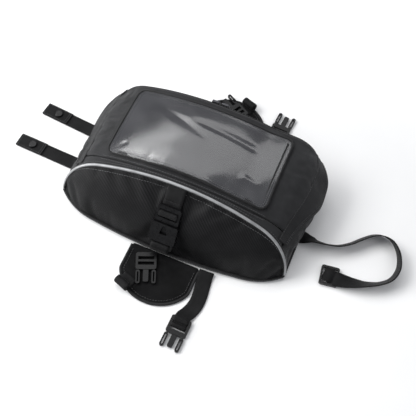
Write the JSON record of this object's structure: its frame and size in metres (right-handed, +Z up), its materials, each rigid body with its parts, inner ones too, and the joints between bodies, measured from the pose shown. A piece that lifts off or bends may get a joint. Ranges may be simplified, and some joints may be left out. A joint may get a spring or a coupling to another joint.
{
  "type": "motorcycle tank bag",
  "caption": "Black motorcycle tank bag with a clear window pocket on its lid, a carbon-look front shell with silver piping, side-release buckles and webbing straps",
  "frame": {"origin": "centre of the underside of the base", "axes": "+X along the bag's length towards the single end strap, +Y towards the upright back, +Z up"},
  "size_m": [0.5523, 0.3887, 0.0934],
  "materials": {
    "nylon": "matte",
    "carbon_skin": "satin",
    "reflective_piping": "satin",
    "webbing": "matte",
    "buckle_plastic": "satin",
    "clear_film": "gloss",
    "zip_teeth": "satin",
    "zip_metal": "satin",
    "stud_metal": "gloss",
    "grip_rubber": "matte",
    "board": "matte"
  },
  "bodies": {
    "body": {"grip_pad": "grip_rubber", "floor_panel": "nylon", "base_board": "board", "edge_binding": "nylon", "front_piping": "reflective_piping", "front_shell": "carbon_skin", "front_band": "nylon", "right_end_panel": "nylon", "left_end_panel": "nylon", "back_panel": "nylon", "zip_body_tape": "nylon", "zip_body_teeth": "zip_teeth", "centre_strap": "webbing", "centre_buckle_socket": "buckle_plastic", "centre_lower_web": "webbing"},
    "lid": {"lid_panel": "nylon", "pocket_backing": "nylon", "window_border": "nylon", "window_film": "clear_film", "zip_lid_teeth": "zip_teeth", "zip_lid_tape": "nylon"},
    "right_flap": {"right_storm_flap": "nylon"},
    "left_flap": {"left_storm_flap": "nylon"},
    "left_slider": {"left_zip_slider": "zip_metal"},
    "right_slider": {"right_zip_slider": "zip_metal"},
    "left_pull": {"left_zip_pull": "zip_metal"},
    "right_pull": {"right_zip_pull": "zip_metal"},
    "centre_male": {"centre_buckle": "buckle_plastic", "centre_strap_turn": "webbing"},
    "front_saddle_flap": {"front_skirt": "nylon", "front_web_roll": "webbing", "front_loose_buckle": "buckle_plastic", "front_side_strap": "webbing", "front_side_buckle": "buckle_plastic"},
    "rear_saddle_flap": {"rear_skirt": "nylon", "rear_web_roll": "webbing", "rear_loose_buckle": "buckle_plastic", "rear_side_strap": "webbing", "rear_side_buckle": "buckle_plastic"},
    "left_rear_end_strap": {"left_rear_strap": "webbing", "left_rear_press_stud": "stud_metal"},
    "left_front_end_strap": {"left_front_strap": "webbing", "left_front_press_stud": "stud_metal"},
    "right_end_strap": {"right_strap": "webbing", "right_ladder_lock": "buckle_plastic"},
    "centre_buckle_left_prong": {"centre_buckle_left_arm": "buckle_plastic"},
    "centre_buckle_right_prong": {"centre_buckle_right_arm": "buckle_plastic"},
    "front_loose_buckle_left_prong": {"front_loose_buckle_left_arm": "buckle_plastic"},
    "front_loose_buckle_right_prong": {"front_loose_buckle_right_arm": "buckle_plastic"},
    "rear_loose_buckle_left_prong": {"rear_loose_buckle_left_arm": "buckle_plastic"},
    "rear_loose_buckle_right_prong": {"rear_loose_buckle_right_arm": "buckle_plastic"},
    "front_side_buckle_left_prong": {"front_side_buckle_left_arm": "buckle_plastic"},
    "front_side_buckle_right_prong": {"front_side_buckle_right_arm": "buckle_plastic"},
    "rear_side_buckle_left_prong": {"rear_side_buckle_left_arm": "buckle_plastic"},
    "rear_side_buckle_right_prong": {"rear_side_buckle_right_arm": "buckle_plastic"}
  },
  "joints": [
    {"name": "lid_hinge", "type": "hinge", "parent": "body", "child": "lid", "pos_m": [0, -0.0315, 0.085], "axis": [1, 0, 0], "range_deg": [0, 100]},
    {"name": "right_flap_hinge", "type": "hinge", "parent": "lid", "child": "right_flap", "pos_m": [0.14201, 0.03, 0.053], "axis": [0, -1, 0], "range_deg": [0, 100]},
    {"name": "left_flap_hinge", "type": "hinge", "parent": "lid", "child": "left_flap", "pos_m": [-0.14201, 0.03, 0.053], "axis": [0, 1, 0], "range_deg": [0, 100]},
    {"name": "left_slider_run", "type": "hinge", "parent": "body", "child": "left_slider", "pos_m": [0, 0.0989, -0.29689], "axis": [0, 1, 0], "range_deg": [-13.5, 0]},
    {"name": "left_pull_swing", "type": "hinge", "parent": "left_slider", "child": "left_pull", "pos_m": [-0.00682, 0.1004, 0.07499], "axis": [0.9998, 0, 0.0183], "range_deg": [0, 100]},
    {"name": "right_slider_run", "type": "hinge", "parent": "body", "child": "right_slider", "pos_m": [0, 0.0989, -0.29689], "axis": [0, 1, 0], "range_deg": [0, 13.5]},
    {"name": "right_pull_swing", "type": "hinge", "parent": "right_slider", "child": "right_pull", "pos_m": [0.00682, 0.1004, 0.07499], "axis": [0.9998, 0, -0.0183], "range_deg": [0, 100]},
    {"name": "centre_buckle_release", "type": "slide", "parent": "body", "child": "centre_male", "axis": [0, 0.5822, 0.8131], "range_m": [0, 0.025]},
    {"name": "centre_buckle_left_squeeze", "type": "hinge", "parent": "centre_male", "child": "centre_buckle_left_prong", "pos_m": [-0.01285, -0.07852, 0.05178], "axis": [0, -0.8131, 0.5822], "range_deg": [0, 6], "stiffness_Nm_per_rad": 0.05},
    {"name": "centre_buckle_right_squeeze", "type": "hinge", "parent": "centre_male", "child": "centre_buckle_right_prong", "pos_m": [0.01285, -0.07852, 0.05178], "axis": [0, -0.8131, 0.5822], "range_deg": [-6, 0], "stiffness_Nm_per_rad": 0.05},
    {"name": "front_loose_buckle_left_squeeze", "type": "hinge", "parent": "front_saddle_flap", "child": "front_loose_buckle_left_prong", "pos_m": [-0.01633, -0.1335, 0.0046], "axis": [0, 0, 1], "range_deg": [0, 6], "stiffness_Nm_per_rad": 0.05},
    {"name": "front_loose_buckle_right_squeeze", "type": "hinge", "parent": "front_saddle_flap", "child": "front_loose_buckle_right_prong", "pos_m": [0.00272, -0.12542, 0.0046], "axis": [0, 0, 1], "range_deg": [-6, 0], "stiffness_Nm_per_rad": 0.05},
    {"name": "rear_loose_buckle_left_squeeze", "type": "hinge", "parent": "rear_saddle_flap", "child": "rear_loose_buckle_left_prong", "pos_m": [0.00324, 0.16221, 0.0046], "axis": [0, 0, 1], "range_deg": [0, 6], "stiffness_Nm_per_rad": 0.05},
    {"name": "rear_loose_buckle_right_squeeze", "type": "hinge", "parent": "rear_saddle_flap", "child": "rear_loose_buckle_right_prong", "pos_m": [-0.00711, 0.14429, 0.0046], "axis": [0, 0, 1], "range_deg": [-6, 0], "stiffness_Nm_per_rad": 0.05},
    {"name": "front_side_buckle_left_squeeze", "type": "hinge", "parent": "front_saddle_flap", "child": "front_side_buckle_left_prong", "pos_m": [0.05214, -0.19382, 0.002], "axis": [0, 0, 1], "range_deg": [0, 6], "stiffness_Nm_per_rad": 0.05},
    {"name": "front_side_buckle_right_squeeze", "type": "hinge", "parent": "front_saddle_flap", "child": "front_side_buckle_right_prong", "pos_m": [0.07284, -0.19418, 0.002], "axis": [0, 0, 1], "range_deg": [-6, 0], "stiffness_Nm_per_rad": 0.05},
    {"name": "rear_side_buckle_left_squeeze", "type": "hinge", "parent": "rear_saddle_flap", "child": "rear_side_buckle_left_prong", "pos_m": [0.08836, 0.15378, 0.002], "axis": [0, 0, 1], "range_deg": [0, 6], "stiffness_Nm_per_rad": 0.05},
    {"name": "rear_side_buckle_right_squeeze", "type": "hinge", "parent": "rear_saddle_flap", "child": "rear_side_buckle_right_prong", "pos_m": [0.06771, 0.15522, 0.002], "axis": [0, 0, 1], "range_deg": [-6, 0], "stiffness_Nm_per_rad": 0.05},
    {"name": "front_saddle_hinge", "type": "hinge", "parent": "body", "child": "front_saddle_flap", "pos_m": [0, -0.1, 0.0012], "axis": [1, 0, 0], "range_deg": [-20, 70]},
    {"name": "rear_saddle_hinge", "type": "hinge", "parent": "body", "child": "rear_saddle_flap", "pos_m": [0, 0.1, 0.0012], "axis": [1, 0, 0], "range_deg": [-70, 20]},
    {"name": "left_rear_strap_swing", "type": "hinge", "parent": "body", "child": "left_rear_end_strap", "pos_m": [-0.1629, 0.0362, 0.0008], "axis": [0, 1, 0], "range_deg": [-60, 65]},
    {"name": "left_front_strap_swing", "type": "hinge", "parent": "body", "child": "left_front_end_strap", "pos_m": [-0.1629, -0.022, 0.0008], "axis": [0, 1, 0], "range_deg": [-60, 65]},
    {"name": "right_strap_swing", "type": "hinge", "parent": "body", "child": "right_end_strap", "pos_m": [0.1629, -0.0025, 0.0008], "axis": [0, -1, 0], "range_deg": [-60, 45]}
  ],
  "couplings": [
    {"joint": "centre_buckle_left_squeeze", "follows": "centre_buckle_right_squeeze", "ratio": -1},
    {"joint": "front_loose_buckle_left_squeeze", "follows": "front_loose_buckle_right_squeeze", "ratio": -1},
    {"joint": "rear_loose_buckle_left_squeeze", "follows": "rear_loose_buckle_right_squeeze", "ratio": -1},
    {"joint": "front_side_buckle_left_squeeze", "follows": "front_side_buckle_right_squeeze", "ratio": -1},
    {"joint": "rear_side_buckle_left_squeeze", "follows": "rear_side_buckle_right_squeeze", "ratio": -1}
  ]
}
